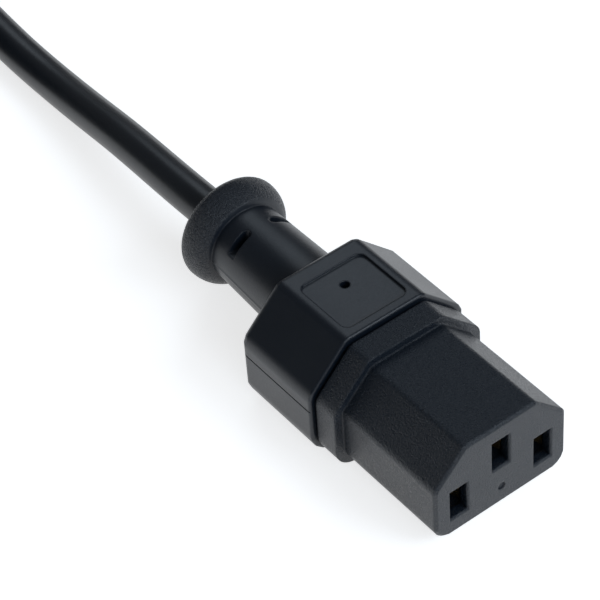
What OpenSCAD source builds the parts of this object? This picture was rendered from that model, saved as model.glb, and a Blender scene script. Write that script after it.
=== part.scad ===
// C13 power connector on a rack jumper lead, with the C14 plug of its far end.
// Millimetres. +Z is up, the engagement face looks along -Y and the cord leaves along +Y.
// The connector lies on the wide flat side of its hood, and the origin is on that
// surface, under the middle of the connector.

/* [Part] */
// Which node to draw

/* [Connector nose] */
// Width of the nose
nose_w = 21.9; // [20:0.1:24]
// Height of the nose
nose_h = 14.6; // [13:0.1:16]
// Length of the nose in front of the collar
nose_len = 18.5; // [16:0.1:22]
// Leg of the two bevels along the top of the nose
nose_bevel = 5.1; // [3:0.1:6]
// Radius of the two long edges under the nose
nose_corner = 2.6; // [1:0.1:4]
// Chamfer round the engagement face
nose_edge = 0.4; // [0.2:0.1:0.8]
// Wall in front of the contact chambers
face_wall = 1.6; // [1:0.1:3]

/* [Contacts] */
// Distance between the line and neutral contacts
pole_pitch = 14; // [13:0.1:15]
// Height of the earth contact above the line and neutral ones
earth_rise = 4; // [3:0.1:5]
// Thickness of a pin blade
blade_t = 2; // [1.5:0.1:2.5]
// Height of a pin blade
blade_h = 4; // [3:0.1:5]
// Room beside the blade in a slot of the engagement face
slot_side = 0.375; // [0.2:0.025:0.6]
// Room above and below the blade in a slot
slot_end = 0.5; // [0.3:0.05:0.8]
// Width of the bevel round the mouth of a slot
slot_mouth = 0.25; // [0.1:0.05:0.5]
// Width of a contact chamber
chamber_w = 4.6; // [4:0.1:5]
// Height of a contact chamber
chamber_h = 5.6; // [5:0.1:6.5]
// Thickness of the brass strip
strip_t = 0.4; // [0.3:0.05:0.6]
// Height of the spring leaves
leaf_h = 4.8; // [4:0.1:5.5]
// Length of the wire crimp
wire_crimp_len = 5; // [4:0.5:6]
// Length of the insulation crimp
jacket_crimp_len = 3; // [2:0.5:4]

/* [Collar] */
// Length of the collar behind the nose
collar_len = 3.8; // [3:0.1:6]
// How far the collar stays inside the hood's outline
collar_inset = 0.65; // [0.3:0.05:1.2]
// Radius of the collar's front shoulder
collar_round = 1.1; // [0.6:0.1:1.5]
// Open groove between the collar and the hood
groove_w = 0.5; // [0.3:0.1:1]
// How far the housing's tenon stays inside the collar
tenon_inset = 1.6; // [1.2:0.1:2.5]
// Length of the tenon inside the hood
tenon_len = 3.7; // [2:0.1:5]

/* [Hood] */
// Width of the hood
hood_w = 26; // [24:0.1:30]
// Height of the hood
hood_h = 17.9; // [16:0.1:21]
// Length of the hood
hood_len = 15; // [12:0.5:24]
// Leg of the two bevels along the top of the hood
hood_bevel = 6.5; // [4:0.1:8]
// Radius of the two long edges under the hood
hood_corner = 4; // [2:0.1:5]
// Radius of the edges at the rear of the hood
hood_rear_round = 1.3; // [0.5:0.1:2]
// Radius of the edge at the front rim of the hood
hood_rim_round = 0.4; // [0.2:0.1:0.8]
// Height of the cord's axis above the surface
axis_z = 8.7; // [8:0.1:10]
// Width of the label recess
label_w = 10.6; // [8:0.1:14]
// Length of the label recess
label_len = 10.2; // [6:0.1:11]
// Depth of the label recess
label_depth = 0.35; // [0.2:0.05:0.6]
// Distance of the label recess from the front rim
label_from_rim = 1.5; // [1:0.1:3]
// Diameter of the pin hole in the label recess
pin_hole_d = 1.35; // [1:0.05:2]
// Depth of the pin hole
pin_hole_depth = 1.8; // [1:0.1:2]
// Width of the mould parting line
parting_w = 0.2; // [0.1:0.05:0.4]
// Height or depth of the mould parting line
parting_step = 0.12; // [0.05:0.01:0.2]

/* [Strain relief] */
// Length of the neck and ring behind the hood
relief_len = 21.2; // [18:0.1:26]
// Diameter of the neck at the hood
neck_front_d = 13; // [11:0.1:15]
// Diameter of the neck at the ring
neck_rear_d = 12.2; // [11:0.1:14]
// Diameter of the ring
ring_d = 16.4; // [14:0.1:18]
// Radius of the ring's front bulge
ring_front_r = 3; // [2.5:0.1:3.5]
// Radius of the ring's rear edge
ring_rear_r = 1.8; // [1:0.1:2.4]
// Width of a flex slit along the cord
slit_w = 1.4; // [1:0.1:2]
// Distance of the slits in front of the ring's rear face
slit_from_rear = 8.4; // [6:0.1:10]
// Angle that one slit covers
slit_angle = 46; // [30:1:60]
// Angle of the middle of a slit above the parting line
slit_lean = 50; // [40:1:60]
// Depth of a slit
slit_depth = 1.8; // [1:0.1:2]

/* [Inside] */
// Width of the inner mould
mould_w = 20; // [18:0.1:20.4]
// Height of the inner mould
mould_h = 12.4; // [11:0.1:13]
// Length of the inner mould's wide part
mould_len = 10.4; // [9:0.1:11]
// Length of the inner mould's neck
mould_neck_len = 4.6; // [4:0.1:6]
// Diameter of the inner mould's neck
mould_neck_d = 8.4; // [7.6:0.1:9]
// Clearance between pieces that seat in each other
fit = 0.1; // [0.05:0.05:0.2]

/* [Cord] */
// Outer diameter of the cord
cord_d = 6; // [5.4:0.1:7]
// Diameter of an insulated core
core_d = 2.3; // [2:0.1:2.6]
// Diameter of a copper conductor
wire_d = 1.1; // [0.9:0.1:1.4]
// Distance of each core from the cord's axis inside the sheath
core_ring = 1.35; // [1.2:0.05:1.5]
// Thickness of the strap that ties the hank
strap_t = 1.2; // [0.8:0.1:2]
// Width of the strap
strap_w = 8; // [6:1:12]

/* [Plug] */
// Clearance between the plug's recess and the nose that it takes
recess_gap = 0.9; // [0.5:0.1:1.2]
// Wall of the plug's shroud
shroud_wall = 2; // [1.5:0.1:2.5]
// Depth of the plug's recess
recess_depth = 17; // [15:0.1:18]
// Distance of the line and neutral pin tips behind the shroud's rim
pin_setback = 2.5; // [1:0.1:4]
// How much further forward the earth pin reaches
earth_lead = 1.5; // [1:0.1:2]

/* [Hidden] */
$fn = 48;
eps = 0.01;
reach = 40;
housing_black = [0.13, 0.14, 0.16];
hood_black = [0.09, 0.10, 0.12];
cord_black = [0.07, 0.08, 0.09];
mould_grey = [0.45, 0.46, 0.48];
brass = [0.78, 0.62, 0.30];
copper = [0.75, 0.42, 0.25];
core_colours = [[0.42, 0.24, 0.12], [0.15, 0.33, 0.70], [0.35, 0.62, 0.20]];
strap_black = [0.05, 0.05, 0.05];

// Stations along the connector, measured back from the engagement face.
collar_end = nose_len + collar_len;
tenon_end = collar_end + tenon_len;
hood_front = collar_end + groove_w;
hood_end = hood_front + hood_len;
total_len = hood_end + relief_len;
mould_block_end = tenon_end + mould_len;
mould_end = mould_block_end + mould_neck_len;
chamber_front = face_wall;
ring_mid = total_len - ring_rear_r;
slit_y = total_len - slit_from_rear;
label_y = hood_front + label_from_rim;

// Stations of the contacts, back from the same face.
leaf_front = chamber_front + 0.6;
leaf_end = tenon_end - 9.5;
wire_crimp_y = tenon_end - 6;
jacket_crimp_y = wire_crimp_y + wire_crimp_len + 0.5;
jacket_crimp_end = jacket_crimp_y + jacket_crimp_len;
bend_front = jacket_crimp_end + 2;
bend_rear = mould_end - 3;

// Places of the three poles, sideways and above the cord's axis: line, neutral, earth.
poles = [[-pole_pitch / 2, -earth_rise / 2], [pole_pitch / 2, -earth_rise / 2], [0, earth_rise / 2]];
core_angles = [210, 330, 90];

// Outlines across the cord's axis, as corners [x, z, radius] about that axis.
function bevelled(w, low, high, bevel, r_low, r_side, r_top) = [
    [-w / 2, -low, r_low], [w / 2, -low, r_low],
    [w / 2, high - bevel, r_side], [w / 2 - bevel, high, r_top],
    [bevel - w / 2, high, r_top], [-w / 2, high - bevel, r_side]];
function inset_bevel(bevel, by) = bevel - by * (2 - sqrt(2));
function boxed(w, h, r) = [[-w / 2, -h / 2, r], [w / 2, -h / 2, r], [w / 2, h / 2, r], [-w / 2, h / 2, r]];

hood_top = hood_h - axis_z;
nose_outline = bevelled(nose_w, nose_h / 2, nose_h / 2, nose_bevel, nose_corner, 1.5, 1);
hood_outline = bevelled(hood_w, axis_z, hood_top, hood_bevel, hood_corner, 3, 2);
collar_outline = bevelled(hood_w - 2 * collar_inset, axis_z - collar_inset, hood_top - collar_inset,
    inset_bevel(hood_bevel, collar_inset), hood_corner - collar_inset, 2.5, 1.6);
tenon_cut = collar_inset + tenon_inset;
tenon_outline = bevelled(hood_w - 2 * tenon_cut, axis_z - tenon_cut, hood_top - tenon_cut,
    inset_bevel(hood_bevel, tenon_cut), 2, 1, 1);
socket_outline = bevelled(hood_w - 2 * tenon_cut + 2 * fit, axis_z - tenon_cut + fit, hood_top - tenon_cut + fit,
    inset_bevel(hood_bevel, tenon_cut - fit), 2 + fit, 1 + fit, 1 + fit);

// The plug's shroud and hood, about the same cord axis.
recess_w = nose_w + 2 * recess_gap;
recess_h = nose_h + 2 * recess_gap;
recess_bevel = inset_bevel(nose_bevel, -recess_gap);
shroud_w = recess_w + 2 * shroud_wall;
shroud_h = recess_h + 2 * shroud_wall;
shroud_bevel = inset_bevel(recess_bevel, -shroud_wall);
plug_w = shroud_w + 2 * collar_inset;
plug_h = shroud_h + 2 * collar_inset;
plug_axis_z = plug_h / 2;
recess_outline = bevelled(recess_w, recess_h / 2, recess_h / 2, recess_bevel, nose_corner, 1.5, 1);
shroud_outline = bevelled(shroud_w, shroud_h / 2, shroud_h / 2, shroud_bevel, hood_corner, 2.5, 1.6);
plug_outline = bevelled(plug_w, plug_h / 2, plug_h / 2, inset_bevel(shroud_bevel, -collar_inset),
    hood_corner + collar_inset, 3, 2);

// The lead's route: straight out of the ring, down to the surface, and on to the hank.
lead_route = [
    [0, 11.5, 8.7], [0, 20, 8.7], [0, 29.5, 8.7], [0.4, 35.5, 8.5], [0.8, 41.5, 8.1],
    [1.2, 47.5, 7.5], [1.5, 53.5, 6.7], [1.8, 59.5, 5.9], [2.1, 65.5, 5], [2.3, 71.5, 4.2],
    [2.5, 77.5, 3.6], [2.7, 83.5, 3.2], [3, 89, 3.3], [3.4, 94, 3.9], [3.5, 97, 4.2], [3.5, 100, 4.2]];

// The hank: a flat stadium of four turns, two beside and two above each other.
hank_x = -20.5;
hank_near = 119.5;
hank_far = 185.5;
lane_in = 18;
lane_out = lane_in + cord_d;
hank_low = strap_t;
hank_high = hank_low + 2 * cord_d;
hank_entry = 100;

// The tail's route: off the top of the hank, round its near end and up to the plug.
plug_x = -2.5;
plug_exit = 161.5;
tail_route = [
    [-44.5, 149, 16.2], [-44.5, 139, 16.2], [-44.5, 129, 16.2], [-44.5, 119.5, 16.2],
    [-42.7, 110.3, 16.2], [-37.5, 102.5, 16.2], [-29.7, 97.3, 16.2], [-20.5, 95.5, 16.2],
    [-11.3, 97.3, 16.2], [-3.5, 102.5, 16.2], [1.7, 110.3, 16.4], [3.5, 119.5, 17],
    [3.2, 126, 18], [2.2, 133, 19.6], [0.5, 140, 21.3], [-1.2, 147, 22.8],
    [-2.3, 153.5, 23.8], [-2.5, 158, 24.05], [-2.5, 161.5, 24.05], [-2.5, 170, 24.05],
    [-2.5, 179.5, 24.05]];
strap_y = 141;
strap_inside = [[-47.5, strap_t], [6.5, strap_t], [6.5, 13.2], [5.5, 22.5], [3, 25.9],
    [-4.5, 25.9], [-47.6, 19.4]];

// ---- outlines with round corners ----

function unit(v) = v / norm(v);
function at(c, i) = [c[i][0], c[i][1]];
function to_last(c, i) = unit(at(c, (i + len(c) - 1) % len(c)) - at(c, i));
function to_next(c, i) = unit(at(c, (i + 1) % len(c)) - at(c, i));
function half_angle(c, i) = acos(to_last(c, i) * to_next(c, i)) / 2;
function centre(c, i) = at(c, i) + unit(to_last(c, i) + to_next(c, i)) * c[i][2] / sin(half_angle(c, i));
function tangent(c, i, side) = at(c, i) + side * c[i][2] / tan(half_angle(c, i));

// How far the outline reaches in the direction of an angle.
function support(c, angle) = max([for (i = [0:len(c) - 1]) centre(c, i) * [cos(angle), sin(angle)] + c[i][2]]);

module rounded(c) {
    polygon([for (i = [0:len(c) - 1]) each [tangent(c, i, to_last(c, i)), tangent(c, i, to_next(c, i))]]);
    for (i = [0:len(c) - 1])
        translate(centre(c, i))
            circle(r = c[i][2]);
}

// A profile in X and Z, extruded along the cord's axis from y0 to y1.
module along_y(y0, y1) {
    translate([0, y1, 0])
        rotate([90, 0, 0])
            linear_extrude(height = y1 - y0)
                children();
}

// A profile of radius and Y, turned about the cord's axis.
module turned() {
    rotate([-90, 0, 0])
        rotate_extrude()
            children();
}

// Cutters that take the edge off an outline's end at station y. The solid lies
// towards facing * Y from there. A round edge leaves a quarter circle.
module edge_cutters(c, y, size, facing = 1, round_edge = true) {
    for (angle = [0:22.5:337.5])
        rotate([0, -angle, 0])
            translate([support(c, angle), y, 0])
                linear_extrude(height = reach, center = true)
                    mirror([0, facing > 0 ? 0 : 1])
                        difference() {
                            polygon(round_edge
                                ? [[-size, -1], [1, -1], [1, size], [-size, size]]
                                : [[-size, -1], [1, -1], [1, size], [0, size], [-size, 0]]);
                            if (round_edge)
                                translate([-size, size])
                                    circle(r = size);
                        }
}

// ---- placing ----

// The connector's own frame has the engagement face at y = 0 and the cord's axis at z = 0.
module on_connector() {
    translate([0, -total_len / 2, axis_z])
        children();
}

// The plug lies on the hank and faces away from the connector.
module on_plug() {
    translate([plug_x, plug_exit + total_len, hank_high + plug_axis_z])
        rotate([0, 0, 180])
            children();
}

module at_pole(i) {
    translate([poles[i][0], 0, poles[i][1]])
        children();
}

// ---- front housing ----

// One slot of the engagement face, with its bevelled mouth, about the pole.
module slot() {
    w = blade_t + 2 * slot_side;
    h = blade_h + 2 * slot_end;
    m = slot_mouth;
    along_y(-1, chamber_front + eps)
        square([w, h], center = true);
    intersection() {
        linear_extrude(height = h + 4 * m, center = true)
            polygon([[-w / 2 - 2 * m, -m], [w / 2 + 2 * m, -m], [w / 2, m], [-w / 2, m]]);
        rotate([90, 0, 90])
            linear_extrude(height = w + 4 * m, center = true)
                polygon([[-m, -h / 2 - 2 * m], [m, -h / 2], [m, h / 2], [-m, h / 2 + 2 * m]]);
    }
}

module chamber(front, rear) {
    along_y(front, rear)
        square([chamber_w, chamber_h], center = true);
}

module nose() {
    difference() {
        along_y(0, nose_len + eps)
            rounded(nose_outline);
        edge_cutters(nose_outline, 0, nose_edge, 1, false);
    }
}

module collar(c, front, rear) {
    difference() {
        along_y(front, rear)
            rounded(c);
        edge_cutters(c, front, collar_round);
    }
}

module tenon() {
    along_y(collar_end - eps, tenon_end)
        rounded(tenon_outline);
}

module front_housing_shape() {
    difference() {
        union() {
            nose();
            collar(collar_outline, nose_len, collar_end);
            tenon();
        }
        for (i = [0:2])
            at_pole(i) {
                slot();
                chamber(chamber_front, tenon_end + 1);
            }
        // gate mark of the moulding under the earth slot
        translate([0, 0, nose_edge - nose_h / 2 + 2.7])
            along_y(-1, 0.2)
                circle(d = 1.2);
    }
}

// ---- hood ----

// Neck and ring, as a half section of radius and station.
module relief_section() {
    polygon([[0, hood_end - 2], [neck_front_d / 2, hood_end - 2], [neck_front_d / 2, hood_end],
        [neck_rear_d / 2, ring_mid], [0, ring_mid]]);
    intersection() {
        translate([ring_d / 2 - ring_front_r, ring_mid])
            circle(r = ring_front_r);
        translate([0, ring_mid - ring_front_r])
            square([ring_d, ring_front_r]);
    }
    intersection() {
        translate([ring_d / 2 - ring_rear_r, ring_mid])
            circle(r = ring_rear_r);
        translate([0, ring_mid])
            square([ring_d, ring_rear_r]);
    }
    translate([0, ring_mid - 1])
        square([ring_d / 2 - ring_rear_r, ring_rear_r + 1]);
}

// Four flex slits round the neck, two above the parting line and two below it.
module flex_slits() {
    deep = neck_rear_d / 2 - slit_depth;
    for (middle = [slit_lean, 180 - slit_lean, 180 + slit_lean, -slit_lean])
        rotate([-90, 0, 0])
            rotate([0, 0, middle - slit_angle / 2])
                rotate_extrude(angle = slit_angle)
                    translate([deep, slit_y - slit_w / 2])
                        square([slit_depth + 2, slit_w]);
}

// Flash that the mould's halves leave on the neck's sides.
module neck_flash() {
    half = neck_front_d / 2 + parting_step;
    rear = neck_rear_d / 2 + parting_step;
    linear_extrude(height = parting_w, center = true)
        polygon([[-half, hood_end - 1], [half, hood_end - 1], [rear, ring_mid], [-rear, ring_mid]]);
}

module hood_body(c, w) {
    difference() {
        union() {
            difference() {
                along_y(hood_front, hood_end)
                    rounded(c);
                edge_cutters(c, hood_front, hood_rim_round);
                edge_cutters(c, hood_end, hood_rear_round, -1);
            }
            turned()
                relief_section();
            neck_flash();
        }
        along_y(hood_front - 1, tenon_end)
            rounded(socket_outline);
        along_y(tenon_end - eps, mould_block_end + fit)
            rounded(boxed(mould_w + 2 * fit, mould_h + 2 * fit, 2 + fit));
        along_y(mould_block_end, mould_end)
            circle(d = mould_neck_d + 2 * fit);
        along_y(mould_end - eps, total_len + 1)
            circle(d = cord_d + 2 * fit);
        flex_slits();
        for (side = [-1, 1])
            translate([side * w / 2, (hood_front + hood_end) / 2, 0])
                cube([2 * parting_step, hood_len + 2, parting_w], center = true);
    }
}

// The label recess lies in the top of the hood, with a small pin hole in its middle.
module label_recess(top) {
    y = label_y + label_len / 2;
    translate([0, y, top - label_depth])
        linear_extrude(height = 1)
            rounded(boxed(label_w, label_len, 1.2));
    translate([0, y + 1.8, top - label_depth - pin_hole_depth])
        cylinder(d = pin_hole_d, h = pin_hole_depth + 1);
}

// ---- wires ----

// The route of core number i from station start to its place inside the sheath.
function core_route(i, start, end) = let (q = core_ring * [cos(core_angles[i]), sin(core_angles[i])])
    [[poles[i][0], start, poles[i][1]],
     for (t = [0:0.2:1]) let (s = t * t * (3 - 2 * t), p = poles[i] * (1 - s) + q * s)
         [p[0], bend_front * (1 - t) + bend_rear * t, p[1]],
     [q[0], end, q[1]]];

module core_run(i, start, end, d) {
    tube(core_route(i, start, end), d, 8);
}

module core(i) {
    color(core_colours[i])
        difference() {
            core_run(i, jacket_crimp_y, mould_end, core_d);
            core_run(i, jacket_crimp_y - 1, mould_end + 1, wire_d + fit);
        }
}

module conductor(i) {
    color(copper)
        core_run(i, wire_crimp_y + eps, mould_end, wire_d);
}

// ---- contacts, pins and inner mould ----

// The two crimp barrels of a contact or pin, with the strip between them.
module crimps() {
    wire_out = wire_d + fit + 2 * strip_t;
    core_out = core_d + fit + 2 * strip_t;
    difference() {
        union() {
            along_y(wire_crimp_y, jacket_crimp_y)
                circle(d = wire_out);
            along_y(jacket_crimp_y - eps, jacket_crimp_end)
                circle(d = core_out);
        }
        along_y(wire_crimp_y + eps, jacket_crimp_end)
            circle(d = wire_d + fit);
        along_y(jacket_crimp_y, jacket_crimp_end + 1)
            circle(d = core_d + fit);
    }
}

// One spring leaf, seen from above: flared mouth, bowed in to the blade, and back to the web.
module leaf_plan() {
    t = strip_t;
    grip = blade_t / 2 - fit;
    side = chamber_w / 2 - fit - t;
    polygon([
        [grip + 0.8, leaf_front], [grip, leaf_front + 2.4], [side, leaf_end - 4], [side, leaf_end],
        [side + t, leaf_end], [side + t, leaf_end - 4.1], [grip + t, leaf_front + 2.4],
        [grip + 0.8 + t, leaf_front]]);
}

module contact(i) {
    web = chamber_w - 2 * fit;
    color(brass)
        at_pole(i) {
            linear_extrude(height = leaf_h, center = true)
                for (side = [0, 1])
                    mirror([side, 0])
                        leaf_plan();
            translate([-web / 2, leaf_end - eps, -leaf_h / 2])
                cube([web, strip_t, leaf_h]);
            translate([-wire_d / 2, leaf_end, -wire_d / 2 - strip_t])
                cube([wire_d, wire_crimp_y - leaf_end + 1, strip_t]);
            crimps();
        }
}

// A blade of the plug, tapered at its tip, with the same crimps behind it.
module pin(i, tip) {
    half = blade_t / 2;
    color(brass)
        at_pole(i) {
            linear_extrude(height = blade_h, center = true)
                polygon([[-half / 2, tip], [half / 2, tip], [half, tip + 1],
                    [half, wire_crimp_y], [-half, wire_crimp_y], [-half, tip + 1]]);
            crimps();
        }
}

module inner_mould_shape() {
    color(mould_grey)
        difference() {
            union() {
                along_y(tenon_end, mould_block_end)
                    rounded(boxed(mould_w, mould_h, 2));
                along_y(mould_block_end - eps, mould_end)
                    circle(d = mould_neck_d);
            }
            for (i = [0:2]) {
                at_pole(i)
                    along_y(tenon_end - 1, jacket_crimp_end + fit)
                        circle(d = core_d + 3 * fit + 2 * strip_t);
                core_run(i, jacket_crimp_end, bend_rear + 0.5, core_d + 2 * fit);
            }
            along_y(bend_rear, mould_end + 1)
                circle(d = 2 * core_ring + core_d + 2 * fit);
        }
}

// ---- plug ----

module plug_housing_shape() {
    difference() {
        union() {
            difference() {
                along_y(0, collar_end)
                    rounded(shroud_outline);
                edge_cutters(shroud_outline, 0, nose_edge, 1, false);
            }
            tenon();
        }
        along_y(-1, recess_depth)
            rounded(recess_outline);
        for (i = [0:2])
            at_pole(i) {
                along_y(recess_depth - 1, tenon_end)
                    square([blade_t + 2 * fit, blade_h + 2 * fit], center = true);
                chamber(wire_crimp_y - 1, tenon_end + 1);
            }
    }
}

// ---- cord ----

// Rings across a route, each square to it, as a closed tube.
function heading(p, i) = unit(p[min(i + 1, len(p) - 1)] - p[max(i - 1, 0)]);
function ring_points(p, i, d, sides) =
    let (t = heading(p, i), s = unit(cross(t, [0, 0, 1])), u = cross(s, t))
    [for (k = [0:sides - 1]) p[i] + d / 2 * (cos(360 * k / sides) * s + sin(360 * k / sides) * u)];

module tube(p, d, sides = 12) {
    n = len(p);
    points = [for (i = [0:n - 1]) each ring_points(p, i, d, sides)];
    sheath = [for (i = [0:n - 2]) for (k = [0:sides - 1])
        [i * sides + k, i * sides + (k + 1) % sides, (i + 1) * sides + (k + 1) % sides, (i + 1) * sides + k]];
    polyhedron(points, concat(sheath,
        [[for (k = [0:sides - 1]) sides - 1 - k]],
        [[for (k = [0:sides - 1]) (n - 1) * sides + k]]));
}

module stadium(r) {
    for (y = [hank_near, hank_far])
        translate([hank_x, y])
            circle(r = r);
    translate([hank_x - r, hank_near])
        square([2 * r, hank_far - hank_near]);
}

// ---- nodes ----

module front_housing() {
    color(housing_black)
        on_connector()
            front_housing_shape();
}

module hood() {
    color(hood_black)
        on_connector()
            difference() {
                hood_body(hood_outline, hood_w);
                label_recess(hood_top);
            }
}

module inner_mould() {
    on_connector()
        inner_mould_shape();
}

module cord_lead() {
    color(cord_black)
        tube(lead_route, cord_d);
}

module cord_hank() {
    color(cord_black) {
        translate([0, 0, hank_low])
            linear_extrude(height = hank_high - hank_low)
                difference() {
                    stadium(lane_out + cord_d / 2);
                    stadium(lane_in - cord_d / 2);
                }
        translate([hank_x + lane_out, 0, hank_low + cord_d / 2])
            along_y(hank_entry, hank_near)
                circle(d = cord_d);
    }
}

module hank_strap() {
    color(strap_black)
        along_y(strap_y - strap_w / 2, strap_y + strap_w / 2)
            difference() {
                offset(r = strap_t)
                    polygon(strap_inside);
                polygon(strap_inside);
            }
}

module cord_tail() {
    color(cord_black)
        tube(tail_route, cord_d);
}

module plug_housing() {
    color(housing_black)
        on_plug()
            plug_housing_shape();
}

module plug_hood() {
    color(hood_black)
        on_plug()
            hood_body(plug_outline, plug_w);
}

module plug_inner_mould() {
    on_plug()
        inner_mould_shape();
}

front_housing();
hood();
inner_mould();
on_connector() contact(0);  // contact_line
on_connector() contact(1);  // contact_neutral
on_connector() contact(2);  // contact_earth
on_connector() core(0);  // core_line
on_connector() core(1);  // core_neutral
on_connector() core(2);  // core_earth
on_connector() conductor(0);  // conductor_line
on_connector() conductor(1);  // conductor_neutral
on_connector() conductor(2);  // conductor_earth
cord_lead();
cord_hank();
hank_strap();
cord_tail();
plug_housing();
plug_hood();
plug_inner_mould();
on_plug() pin(0, pin_setback);  // pin_line
on_plug() pin(1, pin_setback);  // pin_neutral
on_plug() pin(2, pin_setback - earth_lead);  // pin_earth
on_plug() core(0);  // plug_core_line
on_plug() core(1);  // plug_core_neutral
on_plug() core(2);  // plug_core_earth
on_plug() conductor(0);  // plug_conductor_line
on_plug() conductor(1);  // plug_conductor_neutral
on_plug() conductor(2);  // plug_conductor_earth
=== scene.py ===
"""C13 connector on a hanked jumper lead: hood, cord, hank strap, finishes and studio."""

import math

import bmesh
import bpy
import numpy as np
from bpy.props import FloatProperty, FloatVectorProperty, PointerProperty
from bpy.types import Operator, Panel, PropertyGroup
from mathutils import Matrix, Vector


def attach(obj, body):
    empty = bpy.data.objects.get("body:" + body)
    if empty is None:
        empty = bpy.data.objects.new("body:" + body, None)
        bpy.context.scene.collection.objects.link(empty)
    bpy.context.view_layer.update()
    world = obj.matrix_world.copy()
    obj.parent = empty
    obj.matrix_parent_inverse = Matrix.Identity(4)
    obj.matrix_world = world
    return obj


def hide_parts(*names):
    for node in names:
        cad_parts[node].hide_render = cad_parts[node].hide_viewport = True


bl_info = {
    "name": "C13 Jumper Lead",
    "version": (1, 0, 0),
    "blender": (4, 5, 0),
    "location": "View3D > Sidebar > Lead",
    "description": "Dresses a C13 connector, its hanked cord and the plug on its far end",
    "category": "Object",
}

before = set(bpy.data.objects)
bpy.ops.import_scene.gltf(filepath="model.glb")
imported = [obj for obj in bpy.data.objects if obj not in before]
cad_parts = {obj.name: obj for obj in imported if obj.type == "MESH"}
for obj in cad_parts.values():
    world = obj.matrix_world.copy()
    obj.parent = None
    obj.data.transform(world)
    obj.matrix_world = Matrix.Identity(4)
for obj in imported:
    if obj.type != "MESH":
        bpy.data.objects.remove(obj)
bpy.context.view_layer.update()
MM = 0.001


def size(name, default, about):
    """A length property, in metres, given here in millimetres."""
    return FloatProperty(name=name, description=about, default=default * MM, unit="LENGTH", precision=4)


def angle(name, default, about):
    """An angle property, in radians, given here in degrees."""
    return FloatProperty(name=name, description=about, default=math.radians(default), unit="ROTATION")


def tint(name, default, about):
    """A linear colour property."""
    return FloatVectorProperty(name=name, description=about, default=default, subtype="COLOR", min=0, max=1)


def share(name, default, about):
    """A plain number from 0 to 1."""
    return FloatProperty(name=name, description=about, default=default, min=0, max=1, subtype="FACTOR")


def power(name, default, about):
    """A lamp's power, in watts."""
    return FloatProperty(name=name, description=about, default=default, unit="POWER")


# ---- settings ----

class LeadFinish(PropertyGroup):
    housing: tint("Housing", (0.006, 0.011, 0.019), "Colour of the hard housing plastic")
    housing_rough: share("Housing roughness", 0.34, "Roughness of the hard housing plastic")
    hood: tint("Hood", (0.006, 0.010, 0.017), "Colour of the soft overmoulded hood")
    hood_rough: share("Hood roughness", 0.36, "Roughness of the hood")
    cord: tint("Cord", (0.010, 0.0125, 0.017), "Colour of the cord's sheath")
    cord_rough: share("Cord roughness", 0.33, "Roughness of the cord's sheath")
    mould: tint("Inner mould", (0.42, 0.43, 0.45), "Colour of the sealed inner mould")
    brass: tint("Brass", (0.52, 0.38, 0.18), "Colour of the contacts and pins")
    copper: tint("Copper", (0.80, 0.40, 0.24), "Colour of the bare conductors")
    strap: tint("Strap", (0.014, 0.014, 0.015), "Colour of the hook-and-loop strap")
    core_rough: share("Core roughness", 0.35, "Roughness of the cores' insulation")
    core_line: tint("Line core", (0.16, 0.065, 0.028), "Insulation of the line core")
    core_neutral: tint("Neutral core", (0.03, 0.12, 0.42), "Insulation of the neutral core")
    core_earth: tint("Earth core", (0.14, 0.36, 0.06), "Insulation of the earth core")


class LeadCord(PropertyGroup):
    diameter: size("Diameter", 6, "Outer diameter of the cord")
    length: size("Length", 1200, "Length of the cord between the connector and the plug")
    hank_x: size("Hank centre", -20.5, "Middle of the hank, across the cord")
    hank_near: size("Near fold", 119.5, "Centre of the hank's near folds, along the cord")
    hank_far: size("Far fold", 185.5, "Centre of the hank's far folds, along the cord")
    lane_in: size("Inner lane", 18.2, "Fold radius of the inner lane")
    low: size("Low layer", 4.2, "Height of the lower layer's axis")
    last_run: share("Last run", 0.66, "Share of the last left run that the hank covers")
    spacing: size("Point spacing", 1.5, "Distance between the points of the finished route")


class LeadSleeve(PropertyGroup):
    start: size("Start", 7.6, "Where the neck starts inside the hood's rear wall, along the connector")
    rear_wall: size("Rear wall", 8.3, "The hood's rear face, along the connector")
    axis: size("Axis", 8.7, "Height of the cord's axis")
    neck_front: size("Neck, front", 6.42, "Radius of the neck at the hood")
    neck_rear: size("Neck, rear", 5.92, "Radius of the neck at the ring")
    crease: size("Crease", 24.8, "Where the ring's front bulge starts, along the connector")
    ring: size("Ring", 8.28, "Largest radius of the ring")
    widest: size("Widest", 28.3, "Where the ring is widest, along the connector")
    rim: size("Rim", 1.5, "Radius of the ring's rear edge")
    lip: size("Lip", 0.3, "Bevel of the bore's mouth")
    flat: size("Rear flat", 1.6, "Distance from the bore to the middle ring of points on the rear face")
    bore: size("Bore", 3.04, "Radius of the bore that the cord fills")
    core_bore: size("Front bore", 4.35, "Radius of the wider bore round the inner mould's neck")
    core_end: size("Front bore end", 11.55, "Where the wider bore ends, along the connector")
    lean: angle("Lean", 1.15, "Sideways lean of the soft neck")
    slit: size("Slit", 21, "Middle of the flex slits, along the connector")
    slit_width: size("Slit width", 1.4, "Width of a flex slit along the connector")
    slit_inner: size("Slit end", 2.4, "Sideways distance of a slit's round inner end")
    slit_floor: size("Slit floor", 3.1, "Height of a slit's floor above the axis")
    slit_wall: size("Slit wall", 0.08, "Distance over which a slit's wall drops")
    flash: size("Flash", 0.1, "Height of the mould's flash along the neck's sides")
    flash_width: size("Flash width", 0.16, "Half width of the flash")
    stipple_start: size("Stipple start", 24.9, "Where the ring's stipple starts, along the connector")
    stipple_full: size("Stipple full", 25.2, "Where the ring's stipple reaches its full depth")


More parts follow.
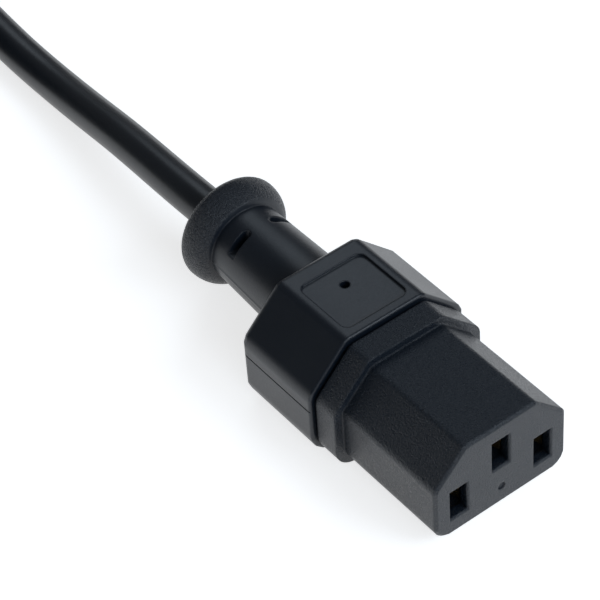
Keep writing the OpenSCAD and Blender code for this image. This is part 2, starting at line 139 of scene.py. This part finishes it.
class LeadStrap(PropertyGroup):
    place: size("Place", 141, "Middle of the strap, along the connector")
    width: size("Width", 8, "Width of the strap")
    thickness: size("Thickness", 1.16, "Thickness of the strap")
    standoff: size("Standoff", 0.6, "Distance of the strap's middle layer from what it ties")
    lap_start: size("Lap start", 5, "Where the lapped end starts on the upper run")
    lap_length: size("Lap length", 30, "Length of the lapped end")
    lap_standoff: size("Lap standoff", 1.8, "Distance of the lap's middle layer from what the strap ties")
    lap_inset: size("Lap inset", 0.4, "How much narrower the lapped end is")
    pitch: size("Weave pitch", 0.55, "Distance between the ribs of the weave")


class LeadStage(PropertyGroup):
    lens: FloatProperty(name="Lens", description="Focal length", default=152.7, unit="CAMERA")
    shift: FloatProperty(name="Shift", description="Sideways shift, as a share of the width", default=-0.0033)
    azimuth: angle("Azimuth", -34.534, "Way round to the camera, from the front")
    elevation: angle("Elevation", 44.384, "Rise of the camera's direction above the level")
    roll: angle("Roll", -4.694, "Turn of the camera about its own view")
    place: FloatVectorProperty(name="Place", description="Where the camera stands",
                               default=(-0.14091, -0.19285, 0.25041), subtype="TRANSLATION")
    floor: tint("Floor", (0.90, 0.90, 0.90), "Colour of the floor")
    glow: share("Floor glow", 0.72, "Light that the floor shows to the camera and in reflections")
    light: tint("Light", (0.80, 0.90, 1.0), "Colour of the lamps")
    key: power("Key", 3.3, "Power of the large front light")
    edge: power("Edge", 4.8, "Power of the light from the front right")
    top: power("Top", 1.9, "Power of the light from above the rear")
    sky: tint("Sky", (0.92, 0.96, 1.0), "Colour of the even light from all round")
    world: FloatProperty(name="World", description="Strength of the even light from all round", default=0.12)


# ---- node groups and materials ----

def feed(tree, made, key, value):
    """Gives a node's input, by name or number, another node's output or a plain value."""
    if isinstance(value, bpy.types.NodeSocket):
        tree.links.new(value, made.inputs[key])
    else:
        made.inputs[key].default_value = value


def node(tree, kind, place=(0, 0), **values):
    """Adds a shader node. A key names an input, with __ for a space, or a property after a leading _."""
    made = tree.nodes.new(kind)
    made.location = place
    for key, value in values.items():
        if key.startswith("_"):
            setattr(made, key[1:], value)
        else:
            feed(tree, made, key.replace("__", " "), value)
    return made


def maths(tree, operation, place, *operands):
    """Adds a Math node over outputs and plain numbers, and gives its result."""
    made = node(tree, "ShaderNodeMath", place, _operation=operation)
    for i, value in enumerate(operands):
        feed(tree, made, i, value)
    return made.outputs["Value"]


def scaled(tree, place, vector, factor):
    """Adds a Vector Math node that scales a colour or vector, and gives its result."""
    made = node(tree, "ShaderNodeVectorMath", place, _operation="SCALE", Scale=factor)
    feed(tree, made, 0, vector)
    return made.outputs["Vector"]


def object_place(tree):
    """The surface's own place, whole and as X, Y and Z."""
    place = node(tree, "ShaderNodeTexCoord", (-1300, 0)).outputs["Object"]
    return place, node(tree, "ShaderNodeSeparateXYZ", (-1100, 0), Vector=place).outputs


def new_group(name, ins, outs):
    """A shader node group with named sockets, each (name, type, default) or (name, type); gives the
    tree, what comes in and the node that takes what goes out."""
    tree = bpy.data.node_groups.new(name, "ShaderNodeTree")
    for label, kind, value in ins:
        tree.interface.new_socket(name=label, in_out="INPUT", socket_type=kind).default_value = value
    for label, kind in outs:
        tree.interface.new_socket(name=label, in_out="OUTPUT", socket_type=kind)
    return tree, node(tree, "NodeGroupInput", (-900, 0)).outputs, node(tree, "NodeGroupOutput", (700, 0))


def moulded_grain():
    """Eroded-mould grain: a fine noise of the surface's own place gives the height and glints in the
    roughness, and a slow one a drift of colour and roughness. Sharp edges look slightly rounded."""
    tree, given, out = new_group("Moulded Grain", [
        ("Color", "NodeSocketColor", (0.02, 0.02, 0.02, 1)), ("Drift", "NodeSocketFloat", 0.15),
        ("Roughness", "NodeSocketFloat", 0.4), ("Grain", "NodeSocketFloat", 2500),
        ("Height", "NodeSocketFloat", 0.15), ("Depth", "NodeSocketFloat", 0.03 * MM),
        ("Sparkle", "NodeSocketFloat", 0.1), ("Edge", "NodeSocketFloat", 0.3 * MM)], [
        ("Color", "NodeSocketColor"), ("Roughness", "NodeSocketFloat"), ("Normal", "NodeSocketVector")])
    place = node(tree, "ShaderNodeTexCoord", (-900, -300)).outputs["Object"]
    fine = node(tree, "ShaderNodeTexNoise", (-600, -200), Vector=place, Scale=given["Grain"],
                Detail=3, Roughness=0.6).outputs["Fac"]
    slow = node(tree, "ShaderNodeTexNoise", (-600, 200), Vector=place, Scale=90,
                Detail=4, Roughness=0.55).outputs["Fac"]

    lift = node(tree, "ShaderNodeMapRange", (-350, 250), Value=slow, To__Min=0, To__Max=given["Drift"])
    paler = scaled(tree, (-200, 50), given["Color"], lift.outputs["Result"])
    pale = node(tree, "ShaderNodeMix", (-100, 250), _data_type="RGBA", _blend_type="ADD",
                Factor=1, A=given["Color"], B=paler)
    feed(tree, out, "Color", pale.outputs["Result"])

    vary = maths(tree, "MULTIPLY_ADD", (-350, -50), slow, 0.12, -0.06)
    rough = maths(tree, "ADD", (100, -50), vary, given["Roughness"])
    centred = maths(tree, "SUBTRACT", (-100, -150), fine, 0.5)
    feed(tree, out, "Roughness",
         maths(tree, "MULTIPLY_ADD", (250, -100), centred, given["Sparkle"], rough))

    worn = node(tree, "ShaderNodeBevel", (100, -450), _samples=6, Radius=given["Edge"])
    bump = node(tree, "ShaderNodeBump", (300, -300), Height=fine, Strength=given["Height"],
                Distance=given["Depth"], Normal=worn.outputs["Normal"])
    feed(tree, out, "Normal", bump.outputs["Normal"])


def principled(name):
    """A new material with its Principled BSDF."""
    material = bpy.data.materials.new(name)
    material.use_nodes = True
    return material, material.node_tree, material.node_tree.nodes["Principled BSDF"]


def grained(name, color, rough, grain=2500, height=0.15, depth=0.03, sparkle=0.1, edge=0.1, metal=0):
    """A moulded or drawn surface: the grain group over a Principled BSDF. Depth and edge are in mm."""
    material, tree, shader = principled(name)
    group = node(tree, "ShaderNodeGroup", (-300, 200), _node_tree=bpy.data.node_groups["Moulded Grain"],
                 _name="grain", Color=(*color, 1), Roughness=rough, Grain=grain, Height=height,
                 Depth=depth * MM, Sparkle=sparkle, Edge=edge * MM)
    for given, taken in (("Color", "Base Color"), ("Roughness", "Roughness"), ("Normal", "Normal")):
        feed(tree, shader, taken, group.outputs[given])
    shader.inputs["Metallic"].default_value = metal
    return material


def dress(node_name, material):
    """Gives a carried-over CAD node its material."""
    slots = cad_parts[node_name].data.materials
    slots.clear()
    slots.append(material)


# ---- surfaces ----

def smooth(t):
    """3t^2 - 2t^3, held at 0 and 1 outside."""
    t = np.clip(t, 0, 1)
    return t * t * (3 - 2 * t)


def grid_mesh(name, points, ring=True):
    """A closed surface through an array of points, rows by columns. Each row joins up with its first
    point, and the last row joins the first one or, where it is no ring, both end rows get a cap."""
    rows, columns = points.shape[:2]
    row, column = np.meshgrid(np.arange(rows if ring else rows - 1), np.arange(columns), indexing="ij")
    below, beside = (row + 1) % rows, (column + 1) % columns
    faces = np.stack([row * columns + column, row * columns + beside,
                      below * columns + beside, below * columns + column], -1).reshape(-1, 4).tolist()
    if not ring:
        faces += [list(range(columns))[::-1], list(range((rows - 1) * columns, rows * columns))]
    mesh = bpy.data.meshes.new(name)
    mesh.from_pydata(points.reshape(-1, 3), [], faces)
    return mesh


def finished(mesh, sharp):
    """Turns every face outwards and smooths all edges flatter than the sharp angle, in degrees."""
    bm = bmesh.new()
    bm.from_mesh(mesh)
    bmesh.ops.recalc_face_normals(bm, faces=bm.faces)
    bm.to_mesh(mesh)
    bm.free()
    mesh.shade_smooth()
    mesh.set_sharp_from_angle(angle=math.radians(sharp))
    return mesh


def joined(name, bm, *parts):
    """One mesh of what the BMesh holds and the part meshes, which are used up."""
    for part in parts:
        bm.from_mesh(part)
        bpy.data.meshes.remove(part)
    mesh = bpy.data.meshes.new(name)
    bm.to_mesh(mesh)
    bm.free()
    return mesh


def placed(name, mesh, material, slot, *replaced):
    """Links a finished piece that rides the root body in place of CAD nodes."""
    mesh.materials.append(material)
    piece = bpy.data.objects.new(name, mesh)
    bpy.context.scene.collection.objects.link(piece)
    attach(piece, "root")
    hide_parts(*replaced)


def cut_copy(name, limit):
    """A BMesh copy of a CAD node in front of a plane across the connector, closed over the cut."""
    bm = bmesh.new()
    bm.from_mesh(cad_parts[name].data)
    bmesh.ops.remove_doubles(bm, verts=bm.verts, dist=MM / 1000)
    cut = bmesh.ops.bisect_plane(bm, geom=bm.verts[:] + bm.edges[:] + bm.faces[:],
                                 plane_co=(0, limit, 0), plane_no=(0, 1, 0), clear_outer=True)
    rim = [e for e in cut["geom_cut"] if isinstance(e, bmesh.types.BMEdge)]
    bmesh.ops.triangle_fill(bm, use_beauty=True, edges=rim)
    bmesh.ops.recalc_face_normals(bm, faces=bm.faces)
    for face in bm.faces:
        face.smooth = False
    return bm


# ---- cord ----

# Routes of the cord before and after the hank. Their points are the solids' own, with the lead
# following the neck's lean.
LEAD = np.array([
    [0.07, 11.7, 8.7], [0.24, 20, 8.7], [0.43, 29.7, 8.7], [0.5, 36, 8.45], [0.65, 41.5, 8.05],
    [1, 47.5, 7.45], [1.4, 53.5, 6.75], [1.8, 59.5, 5.9], [2.15, 65.5, 4.9], [2.5, 71.5, 4],
    [2.8, 77.5, 3.3], [2.9, 83.5, 3.05], [3, 89, 3.05], [3.2, 94, 3.15], [3.4, 100, 3.5],
    [3.5, 107, 4.1], [3.5, 112, 4.2]]) * MM
TAIL = np.array([
    [-44.5, 139, 16.2], [-44.5, 129, 16.2], [-44.5, 119.5, 16.2],
    [-42.7, 110.3, 16.2], [-37.5, 102.5, 16.2], [-29.7, 97.3, 16.2], [-20.5, 95.5, 16.2],
    [-11.3, 97.3, 16.2], [-3.5, 102.5, 16.2], [1.7, 110.3, 16.4], [3.5, 119.5, 17],
    [3.2, 126, 18], [2.2, 133, 19.6], [0.5, 140, 21.3], [-1.2, 147, 22.8],
    [-2.3, 153.5, 23.8], [-2.5, 158, 24.05], [-2.5, 161.5, 24.05], [-2.5, 170, 24.05],
    [-2.5, 179.5, 24.05]]) * MM
FOLD_POINTS = 13
RUN_POINTS = 14
RELAX_PASSES = 6


def fold(c, centre, r, turn, z):
    """Points round a fold of the hank: a circle of radius r about its centre, at one height."""
    return np.stack([c.hank_x + r * np.cos(turn), centre + r * np.sin(turn), np.full_like(turn, z)], 1)


def hank_points(c):
    """Three and a half turns of a stadium. A strand keeps its lane round the near fold, the right run
    and the far fold, and moves to the next lane along the left run, each move half a window after the
    one above it, so that no strand meets another."""
    run = c.hank_far - c.hank_near
    outer = c.lane_in + c.diameter
    lanes = [(outer, 0), (c.lane_in, 0), (c.lane_in, 1), (outer, 1), (outer, 2)]
    turns = len(lanes) - 1
    window = run / 2.5
    turn = np.linspace(0, math.pi, FOLD_POINTS)
    along = np.linspace(0, run, RUN_POINTS)
    parts = []
    for k in range(turns):
        (r, level), (next_r, next_level) = lanes[k:k + 2]
        z = c.low + level * c.diameter
        if k:
            parts.append(fold(c, c.hank_near, r, math.pi + turn[1:-1], z))
        right = np.stack([np.full_like(along, c.hank_x + r), c.hank_near + along, np.full_like(along, z)], 1)
        parts += [right[:-1], fold(c, c.hank_far, r, turn, z)[:-1]]
        moved = smooth((along - (turns - 1 - k) * window / 2) / window)
        left = np.stack([c.hank_x - (r + (next_r - r) * moved), c.hank_far - along,
                         z + (next_level - level) * c.diameter * moved], 1)
        parts.append(left[:-1] if k < turns - 1 else left[along < run * c.last_run])
    return np.concatenate(parts)


def resampled(points, step):
    """A curve through the points, as cubic Hermite pieces over chord length, cut at even steps."""
    chords = np.diff(points, axis=0)
    w = np.linalg.norm(chords, axis=1)
    t = np.concatenate([[0], np.cumsum(w)])
    d = chords / w[:, None]
    m = np.empty_like(points)
    m[1:-1] = (d[:-1] * w[1:, None] + d[1:] * w[:-1, None]) / (w[:-1] + w[1:])[:, None]
    m[0], m[-1] = d[0], d[-1]
    s = np.linspace(0, t[-1], int(t[-1] / step) + 1)
    i = np.clip(np.searchsorted(t, s, side="right") - 1, 0, len(w) - 1)
    u = ((s - t[i]) / w[i])[:, None]
    h = w[i][:, None]
    return ((2 * u**3 - 3 * u**2 + 1) * points[i] + (u**3 - 2 * u**2 + u) * h * m[i]
            + (3 * u**2 - 2 * u**3) * points[i + 1] + (u**3 - u**2) * h * m[i + 1])


def relaxed(points, passes):
    """Evens out the bends: each point moves half way to the middle of its neighbours."""
    p = points.copy()
    for _ in range(passes):
        p[1:-1] = 0.5 * p[1:-1] + 0.25 * (p[:-2] + p[2:])
    return p


class LEAD_OT_cord(Operator):
    """Lays the cord: the stretch behind the connector, the hank and the stretch up to the plug."""
    bl_idname = "lead.cord"
    bl_label = "Lay Cord"

    def execute(self, context):
        c = context.scene.lead_cord
        f = context.scene.lead_finish
        route = np.concatenate([LEAD, hank_points(c), TAIL])
        points = relaxed(resampled(route, c.spacing), RELAX_PASSES)
        data = bpy.data.curves.new("cord", "CURVE")
        data.dimensions = "3D"
        spline = data.splines.new("POLY")
        spline.points.add(len(points) - 1)
        spline.points.foreach_set("co", np.concatenate([points, np.ones((len(points), 1))], 1).ravel())
        data.bevel_depth = c.diameter / 2
        data.bevel_resolution = 6
        data.use_fill_caps = True
        data.materials.append(grained("Cord Sheath", f.cord, f.cord_rough, grain=1400, height=0.10))
        cord = bpy.data.objects.new("cord", data)
        context.scene.collection.objects.link(cord)
        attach(cord, "root")
        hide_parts("cord_lead", "cord_hank", "cord_tail")
        return {"FINISHED"}


# ---- strap ----

BAND_SIDES = 24
CORNER_POINTS = 6
TIP_POINTS = 10
# Corners of what the strap ties, across the connector: the hank's sides, and the cord on top of it.
STRAP = np.array([[-47.5, 1.2], [6.5, 1.2], [6.5, 13.2], [5.5, 22.5], [3, 25.9], [-4.5, 25.9],
                  [-47.6, 19.4]]) * MM


def strap_line(offset):
    """The strap's corners, each turned into an arc of the offset's radius between the outward
    directions of the runs before and after it; gives points and outward directions."""
    d = np.roll(STRAP, -1, 0) - STRAP
    after = np.arctan2(-d[:, 0], d[:, 1])
    before = np.roll(after, 1)
    change = (after - before + math.pi) % (2 * math.pi) - math.pi
    t = np.linspace(0, 1, CORNER_POINTS)
    turn = (before[:, None] + change[:, None] * t).ravel() + math.pi
    out = np.stack([np.cos(turn), np.sin(turn)], 1)
    return np.repeat(STRAP, len(t), 0) + offset * out, out


def band(line, out, place, width, thickness):
    """A superellipse, flat across and round at its edges, carried along a line: each ring spreads
    along the connector by the width and along the outward direction by the thickness."""
    t = np.linspace(0, 2 * math.pi, BAND_SIDES, endpoint=False)
    u = np.sign(np.cos(t)) * np.abs(np.cos(t)) ** 0.2
    v = np.sign(np.sin(t)) * np.abs(np.sin(t)) ** 0.5
    across = np.broadcast_to(width, len(line))[:, None] / 2
    x, z = (line[:, i:i + 1] + out[:, i:i + 1] * v * thickness / 2 for i in (0, 1))
    return np.stack([x, place + across * u, z], -1)


def lapped_end(c):
    """The strap's free end, on the upper run: a band whose width follows a half ellipse at both ends."""
    start, end = STRAP[5], STRAP[6]
    run = (end - start) / np.linalg.norm(end - start)
    up = np.array([run[1], -run[0]])
    t = 1 - np.cos(np.linspace(0, math.pi / 2, TIP_POINTS))
    tip = c.width / 2
    along = np.concatenate([c.lap_start + t * tip, c.lap_start + c.lap_length - t[::-1] * tip])
    roundness = 0.97
    ends = np.sqrt(1 - (1 - t) ** 2 * roundness)
    line = start + along[:, None] * run + up * c.lap_standoff
    return band(line, np.broadcast_to(up, line.shape), c.place,
                (c.width - c.lap_inset) * np.concatenate([ends, ends[::-1]]), c.thickness)


def strap_finish(f, pitch):
    """Woven hook-and-loop tape: ribs both ways, from two sines of the surface's place, and a fine fuzz. Its
    colour follows their height: painted shade in the weave's hollows, painted highlight on its ribs, and
    random tone from the fuzz.
    """
    material, tree, shader = principled("Strap Weave")
    place, axes = object_place(tree)
    along = maths(tree, "ADD", (-950, 100), axes["X"], axes["Z"])
    ribs = [maths(tree, "SINE", (-650, row), maths(tree, "MULTIPLY", (-800, row), axis, 2 * math.pi / pitch))
            for row, axis in ((100, along), (-100, axes["Y"]))]
    weave = maths(tree, "MULTIPLY", (-500, 0), *ribs)
    fuzz = node(tree, "ShaderNodeTexNoise", (-650, -300), Vector=place, Scale=5000, Detail=3)
    height = maths(tree, "ADD", (-350, -100), weave, fuzz.outputs["Fac"])
    bump = node(tree, "ShaderNodeBump", (-150, -200), Strength=0.9, Distance=0.12 * MM, Height=height)
    # Painted shade and highlight: the tape's colour is scaled down in the weave's hollows and up on its ribs,
    # with the fuzz adding random tone.
    painted_weave_light = node(tree, "ShaderNodeMapRange", (-350, 200), Value=height, From__Min=-1, From__Max=2,
                 To__Min=0.4, To__Max=2.2)
    feed(tree, shader, "Base Color", scaled(tree, (-150, 200), f.strap, painted_weave_light.outputs["Result"]))
    feed(tree, shader, "Normal", bump.outputs["Normal"])
    shader.inputs["Roughness"].default_value = 0.85
    shader.inputs["Sheen Weight"].default_value = 0.3
    return material


class LEAD_OT_strap(Operator):
    """Makes the hook-and-loop strap round the hank, with its lapped and rounded end on the upper run."""
    bl_idname = "lead.strap"
    bl_label = "Make Strap"

    def execute(self, context):
        c = context.scene.lead_strap
        line, out = strap_line(c.standoff)
        loop = finished(grid_mesh("loop", band(line, out, c.place, c.width, c.thickness)), sharp=50)
        lap = finished(grid_mesh("lap", lapped_end(c), ring=False), sharp=50)
        placed("strap", joined("strap", bmesh.new(), loop, lap),
               strap_finish(context.scene.lead_finish, c.pitch), "strap_fabric", "hank_strap")
        return {"FINISHED"}


# ---- hood ----

SLEEVE_SIDES = 384
BULGE_POINTS = 22
EDGE_POINTS = 12


def sleeve_profile(c):
    """Radius and station round the sleeve's wall: down the neck, a quarter ellipse over the ring's bulge,
    a quarter circle at its rear edge, and back along the two bores. Also how many points the neck has."""
    step = 0.05 * MM
    zone = c.slit_width / 2 + step
    neck = np.concatenate([np.linspace(c.start, c.slit - zone - step, 10),
                           np.linspace(c.slit - zone, c.slit + zone, 31),
                           np.linspace(c.slit + zone + step, c.crease, 6)])
    way = (neck - c.rear_wall) / (c.crease - c.rear_wall)
    neck = np.stack([c.neck_front + (c.neck_rear - c.neck_front) * way, neck], 1)
    t = np.linspace(0, math.pi / 2, BULGE_POINTS)[1:]
    bulge = np.stack([c.neck_rear + (c.ring - c.neck_rear) * np.sin(t),
                      c.crease + (c.widest - c.crease) * (1 - np.cos(t))], 1)
    t = np.linspace(0, math.pi / 2, EDGE_POINTS)[1:]
    edge = np.stack([c.ring - c.rim * (1 - np.cos(t)), c.widest + c.rim * np.sin(t)], 1)
    rear = c.widest + c.rim
    back = np.array([[c.bore + c.flat, rear], [c.bore + c.lip, rear], [c.bore, rear - c.lip],
                     [c.bore, c.core_end], [c.core_bore, c.core_end], [c.core_bore, c.start]])
    return np.concatenate([neck, bulge, edge, back]), len(neck)


def sleeve(c):
    """The profile turned about the cord's axis, with the flash as a narrow swell at both sides. The four
    slits sink the neck's points, inside a slot with a round inner end, to a level floor. The whole
    leans about the middle of the hood's rear face."""
    profile, outer = sleeve_profile(c)
    a = np.linspace(0, 2 * math.pi, SLEEVE_SIDES, endpoint=False)
    r = np.repeat(profile[:, :1], len(a), 1)
    r[:outer] += c.flash * np.exp(-(np.sin(a) * c.neck_rear / c.flash_width) ** 2)
    x, y, z = r * np.cos(a), np.repeat(profile[:, 1:], len(a), 1), r * np.sin(a)
    away = np.hypot(np.maximum(c.slit_inner - np.abs(x), 0), y - c.slit)
    depth = smooth((c.slit_width / 2 - away) / c.slit_wall + 0.5)
    depth[outer:] = 0
    floor = np.sign(z) * np.minimum(np.abs(z), c.slit_floor)
    z = z + (floor - z) * depth
    along = y - c.rear_wall
    return np.stack([x * math.cos(c.lean) + along * math.sin(c.lean),
                     c.rear_wall + along * math.cos(c.lean) - x * math.sin(c.lean), c.axis + z], -1)


def hood_finish(f, c):
    """Satin moulding whose ring is stippled: the grain is deeper and sharper behind the crease."""
    material = grained("Hood Moulding", f.hood, f.hood_rough, grain=3400, edge=0.35)
    tree = material.node_tree
    axes = object_place(tree)[1]
    ring = node(tree, "ShaderNodeMapRange", (-900, 0), Value=axes["Y"], From__Min=c.stipple_start,
                From__Max=c.stipple_full).outputs["Result"]
    for key, satin, stippled in (("Height", 0.4, 1), ("Depth", 0.04 * MM, 0.3 * MM), ("Sparkle", 0.15, 0.9)):
        mixed = node(tree, "ShaderNodeMapRange", (-600, -100), Value=ring, To__Min=satin, To__Max=stippled)
        feed(tree, tree.nodes["grain"], key, mixed.outputs["Result"])
    return material


class LEAD_OT_hood(Operator):
    """Makes the hood: its block in front of the rear face, and the soft neck with its slits and ring."""
    bl_idname = "lead.hood"
    bl_label = "Make Hood"

    def execute(self, context):
        c = context.scene.lead_sleeve
        stub = 0.02 * MM
        block = cut_copy("hood", c.rear_wall + stub)
        neck = finished(grid_mesh("sleeve", sleeve(c)), sharp=40)
        placed("hood_moulding", joined("hood_moulding", block, neck),
               hood_finish(context.scene.lead_finish, c), "hood_pvc", "hood")
        return {"FINISHED"}


# ---- the CAD pieces' finishes ----

class LEAD_OT_finishes(Operator):
    """Gives every carried-over piece of the connector and the plug its own finish."""
    bl_idname = "lead.finishes"
    bl_label = "Finish Moulded Pieces"

    def execute(self, context):
        f = context.scene.lead_finish
        housing = grained("Housing Plastic", f.housing, f.housing_rough, grain=3800, height=1, depth=0.16,
                          sparkle=0.6, edge=0.45)
        brass = grained("Contact Brass", f.brass, 0.28, grain=900, height=0.08, metal=1)
        finishes = {
            "front_housing": housing,
            "housing": housing,
            "hood": grained("Hood PVC", f.hood, f.hood_rough, grain=3400, height=0.4, edge=0.35),
            "inner_mould": grained("Inner Mould", f.mould, 0.5),
            "contact": brass,
            "pin": brass,
            "conductor": grained("Copper Wire", f.copper, 0.3, grain=1200, height=0.1, metal=1),
            "core_line": grained("Line Core", f.core_line, f.core_rough),
            "core_neutral": grained("Neutral Core", f.core_neutral, f.core_rough),
            "core_earth": grained("Earth Core", f.core_earth, f.core_rough)}
        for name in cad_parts:
            for start, material in finishes.items():
                if name.removeprefix("plug_").startswith(start):
                    dress(name, material)
        return {"FINISHED"}


# ---- stage ----

# Each lamp's place and the side of its square. All look at the connector's middle.
LAMPS = {
    "key": ((-0.12, -1.0, 0.62), 0.8),
    "edge": ((0.5, -0.85, 0.75), 0.6),
    "top": ((0.5, 0.75, 0.95), 0.7)}
LAMP_TARGET = (0, 0, 0.005)
FLOOR_RADIUS = 6
FLOOR_SIDES = 96
FLOOR_DROP = 0.05 * MM


class LEAD_OT_stage(Operator):
    """Sets the camera, a pale floor and soft studio light."""
    bl_idname = "lead.stage"
    bl_label = "Set Stage"

    def execute(self, context):
        s = context.scene.lead_stage
        scene = context.scene
        self.camera(scene, s)
        self.floor(scene, s)
        for name in LAMPS:
            self.lamp(scene, s, name)
        world = bpy.data.worlds.new("studio")
        world.use_nodes = True
        background = world.node_tree.nodes["Background"]
        background.inputs["Color"].default_value = (*s.sky, 1)
        background.inputs["Strength"].default_value = s.world
        scene.world = world
        scene.view_settings.view_transform = "Standard"
        return {"FINISHED"}

    def camera(self, scene, s):
        """A long lens that looks down on the connector from its front left."""
        lens = bpy.data.cameras.new("camera")
        lens.sensor_width = 36
        lens.lens = s.lens
        lens.shift_x = s.shift
        lens.clip_start = 0.01
        lens.clip_end = 20
        level_back = Vector((math.sin(s.azimuth), -math.cos(s.azimuth), 0))
        back = level_back * math.cos(s.elevation) + Vector((0, 0, math.sin(s.elevation)))
        level = Vector((0, 0, 1)).cross(back).normalized()
        upright = back.cross(level)
        right = math.cos(s.roll) * level + math.sin(s.roll) * upright
        up = math.cos(s.roll) * upright - math.sin(s.roll) * level
        turn = Matrix((right, up, back)).transposed().to_4x4()
        camera = bpy.data.objects.new("camera", lens)
        camera.matrix_world = Matrix.Translation(s.place) @ turn
        scene.collection.objects.link(camera)
        scene.camera = camera

    def lamp(self, scene, s, name):
        """A square area lamp that looks at the connector."""
        place, side = LAMPS[name]
        data = bpy.data.lights.new(name, "AREA")
        data.shape = "SQUARE"
        data.size = side
        data.energy = getattr(s, name)
        data.color = s.light
        look = (Vector(LAMP_TARGET) - Vector(place)).to_track_quat("-Z", "Y")
        lamp = bpy.data.objects.new(name, data)
        lamp.matrix_world = Matrix.Translation(place) @ look.to_matrix().to_4x4()
        scene.collection.objects.link(lamp)

    def floor(self, scene, s):
        """A large pale disc under the object, whose own glow reaches only the camera and reflections."""
        a = np.linspace(0, 2 * math.pi, FLOOR_SIDES, endpoint=False)
        rim = np.stack([np.cos(a) * FLOOR_RADIUS, np.sin(a) * FLOOR_RADIUS, np.full_like(a, -FLOOR_DROP)], 1)
        mesh = bpy.data.meshes.new("floor")
        mesh.from_pydata(rim.tolist(), [], [list(range(FLOOR_SIDES))])
        material, tree, shader = principled("Floor")
        shader.inputs["Base Color"].default_value = (*s.floor, 1)
        shader.inputs["Roughness"].default_value = 0.9
        shader.inputs["Specular IOR Level"].default_value = 0.1
        shader.inputs["Emission Color"].default_value = (1, 1, 1, 1)
        ray = node(tree, "ShaderNodeLightPath", (-700, 0)).outputs
        seen = maths(tree, "MAXIMUM", (-500, 0), ray["Is Camera Ray"], ray["Is Glossy Ray"])
        through = maths(tree, "MAXIMUM", (-350, 0), seen, ray["Is Transmission Ray"])
        feed(tree, shader, "Emission Strength", maths(tree, "MULTIPLY", (-200, 0), through, s.glow))
        mesh.materials.append(material)
        floor = bpy.data.objects.new("floor", mesh)
        scene.collection.objects.link(floor)


class LEAD_PT_panel(Panel):
    """Lists the lead's pieces and their settings."""
    bl_label = "Jumper Lead"
    bl_idname = "LEAD_PT_panel"
    bl_space_type = "VIEW_3D"
    bl_region_type = "UI"
    bl_category = "Lead"

    def draw(self, context):
        for section, (group, operator) in SECTIONS.items():
            box = self.layout.box()
            for name in group.__annotations__:
                box.prop(getattr(context.scene, section), name)
            box.operator(operator.bl_idname)


# Settings and operator of each section, in the order of making.
SECTIONS = {
    "lead_stage": (LeadStage, LEAD_OT_stage),
    "lead_strap": (LeadStrap, LEAD_OT_strap),
    "lead_cord": (LeadCord, LEAD_OT_cord),
    "lead_sleeve": (LeadSleeve, LEAD_OT_hood),
    "lead_finish": (LeadFinish, LEAD_OT_finishes)}
CLASSES = [cls for pair in SECTIONS.values() for cls in pair] + [LEAD_PT_panel]


def register():
    for cls in CLASSES:
        bpy.utils.register_class(cls)
    for section, (group, _) in SECTIONS.items():
        setattr(bpy.types.Scene, section, PointerProperty(type=group))


def unregister():
    for section in SECTIONS:
        delattr(bpy.types.Scene, section)
    for cls in reversed(CLASSES):
        bpy.utils.unregister_class(cls)


def main():
    register()
    moulded_grain()
    for _, operator in SECTIONS.values():
        module, name = operator.bl_idname.split(".")
        getattr(getattr(bpy.ops, module), name)()


if __name__ == "__main__":
    main()
